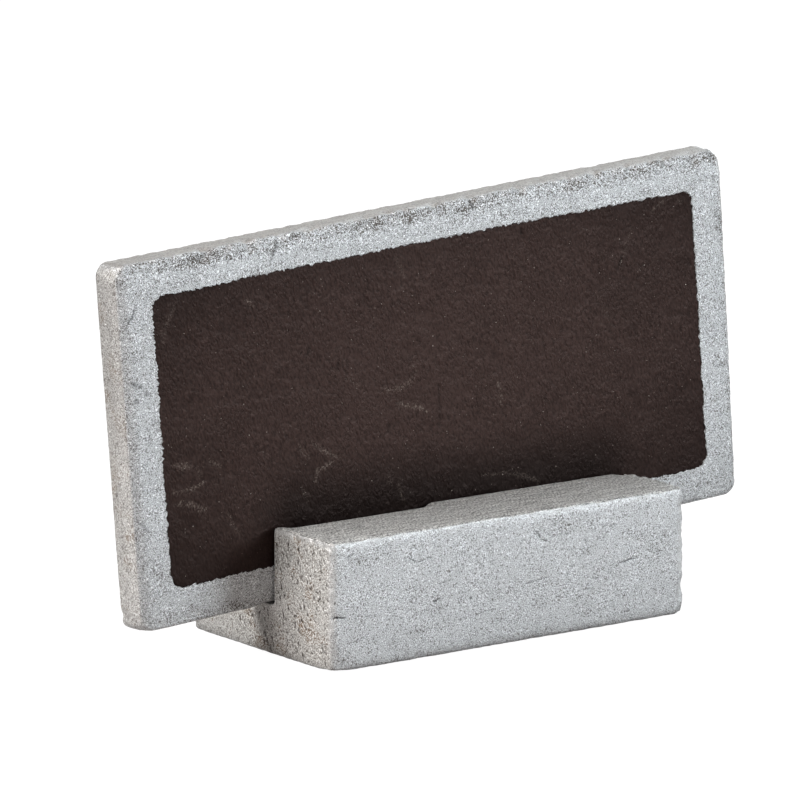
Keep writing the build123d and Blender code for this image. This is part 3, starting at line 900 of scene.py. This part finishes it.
# Soft white chalk, rubbed so thin in places that the dark coat shows through
chalk, tree = new_material("rubbed_white_chalk")
place = add(tree, "ShaderNodeTexCoord").outputs["Object"]
mix = add(tree, "ShaderNodeTexNoise", {"Vector": place, "Scale": 1 / (0.5 * MM)})
mix = add(tree, "ShaderNodeMapRange", {"Value": mix, "From Min": 0.42, "From Max": 0.74})
dusty = add(tree, "ShaderNodeMix", {0: mix, 6: "#544842", 7: "#D4CAC2"}, data_type="RGBA")
surface = add(
    tree, "ShaderNodeBsdfPrincipled", {"Base Color": dusty, "Roughness": 0.95, "Specular IOR Level": 0.1}
)
add(tree, "ShaderNodeOutputMaterial", {"Surface": surface})


def on_panel(right_of, below):
    """A place on the panel's face, in metres, from millimetres right and down of its upper left corner."""
    x, z = panel_corner + np.array([right_of, -below]) * MM
    return stand @ np.array([x, panel_low[1] + CHALK_DEPTH, z])


form = bmesh.new()
amounts = []
for amount, stroke in CHALK_STROKES:
    verts = [form.verts.new(on_panel(*point)) for point in stroke]
    amounts += [amount] * len(verts)
    for one, other in zip(verts, verts[1:]):
        form.edges.new((one, other))
corners = [form.verts.new(on_panel(*point)) for point in DUSTED_FIELD]
form.faces.new(corners)
amounts += [0.0] * len(corners)
chalk_mesh = bpy.data.meshes.new("chalk_dust")
form.to_mesh(chalk_mesh)
form.free()
store(chalk_mesh, chalk=np.array(amounts))
dust_piece = new_piece("chalk_dust", chalk_mesh)
grow(
    dust_piece, chalk_tree, step=CHALK_STEP, spread=CHALK_SPREAD, per_area=SPECKS_PER_AREA,
    size=CHALK_RADIUS, chalk=chalk,
)
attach(dust_piece, "plate")

# Studio: a white background that only the camera sees, over a grey table that lights the object from below.
# A cool softbox stands at the front right, warm ones at the left and above, a cool one behind at the right.
FLOOR_REACH = 4.0
TABLE_DROP = 0.05 * MM  # clear of the block's underside
LIGHT_DISTANCE = 0.8


def stage_plane(name, height, colour, glow):
    """A wide flat plane of matte paper at a height, with a glow of its own."""
    mesh = bpy.data.meshes.new(name)
    ends = ((-1, -1), (1, -1), (1, 1), (-1, 1))
    mesh.from_pydata([(x * FLOOR_REACH, y * FLOOR_REACH, height) for x, y in ends], [], [(0, 1, 2, 3)])
    paper, tree = new_material(name + "_paper")
    surface = add(
        tree, "ShaderNodeBsdfPrincipled",
        {
            "Base Color": colour, "Roughness": 0.9, "Specular IOR Level": 0.0,
            "Emission Color": "#FFFFFF", "Emission Strength": glow,
        },
    )
    add(tree, "ShaderNodeOutputMaterial", {"Surface": surface})
    mesh.materials.append(paper)
    plane = new_piece(name, mesh)
    return plane


backdrop = stage_plane("white_background", 0.0, "#606060", 0.95)
for ray in ("diffuse", "glossy", "shadow"):
    setattr(backdrop, "visible_" + ray, False)
table = stage_plane("grey_table", -TABLE_DROP, "#ADA9A8", 0.0)
table.visible_camera = False

middle = (cad_box[0] + cad_box[1]) / 2


def softbox(name, azimuth, elevation, width, height, power, tint):
    """An area light that looks at the object from an angle round it and above the floor, in degrees."""
    light = bpy.data.lights.new(name, "AREA")
    light.shape = "RECTANGLE"
    light.size = width
    light.size_y = height
    light.energy = power
    light.color = tint
    lamp = new_piece(name, light)
    turn, rise = math.radians(azimuth), math.radians(elevation)
    towards = Vector((math.sin(turn) * math.cos(rise), -math.cos(turn) * math.cos(rise), math.sin(rise)))
    lamp.location = middle + towards * LIGHT_DISTANCE
    lamp.rotation_euler = towards.to_track_quat("Z", "Y").to_euler()


softbox("front_right_softbox", 34, 16, 0.25, 0.25, 5.1, (0.89, 0.96, 1.0))
softbox("left_softbox", -100, 30, 0.30, 0.30, 8.0, (1.0, 0.98, 0.955))
softbox("high_softbox", -40, 62, 0.50, 0.50, 3.9, (1.0, 0.91, 0.86))
softbox("rear_right_softbox", 110, 45, 0.60, 0.50, 2.9, (0.85, 0.95, 1.0))
softbox("rear_wall", 145, 18, 0.60, 0.50, 0.6, (1.0, 0.98, 0.95))

studio = bpy.data.worlds.new("dark_studio")
bpy.context.scene.world = studio
studio.use_nodes = True
ambient = studio.node_tree.nodes["Background"].inputs
ambient["Color"].default_value = linear("#FFFFFF")
ambient["Strength"].default_value = 0.0
bpy.context.scene.view_settings.view_transform = "Standard"

# Camera: the photograph's own view, a long lens from the front left and a little above
FOCAL_LENGTH = 315.0
SENSOR = 36.0
VIEW_DISTANCE = 913.4 * MM
AIM_RIGHT, AIM_UP = 8.90, 35.87  # mm from the block's lower front left corner
azimuth, elevation = math.radians(-36.22), math.radians(11.54)
right = Vector((math.cos(azimuth), math.sin(azimuth), 0))
back = Vector((
    math.sin(azimuth) * math.cos(elevation), -math.cos(azimuth) * math.cos(elevation), math.sin(elevation)
))
up = back.cross(right)
aim = block_low + right * AIM_RIGHT * MM + up * AIM_UP * MM
lens = bpy.data.cameras.new("camera")
lens.lens = FOCAL_LENGTH
lens.sensor_width = SENSOR
lens.clip_start = 0.05
camera = new_piece("camera", lens)
camera.location = aim + back * VIEW_DISTANCE
camera.rotation_euler = Matrix((right, up, back)).transposed().to_euler()
bpy.context.scene.camera = camera
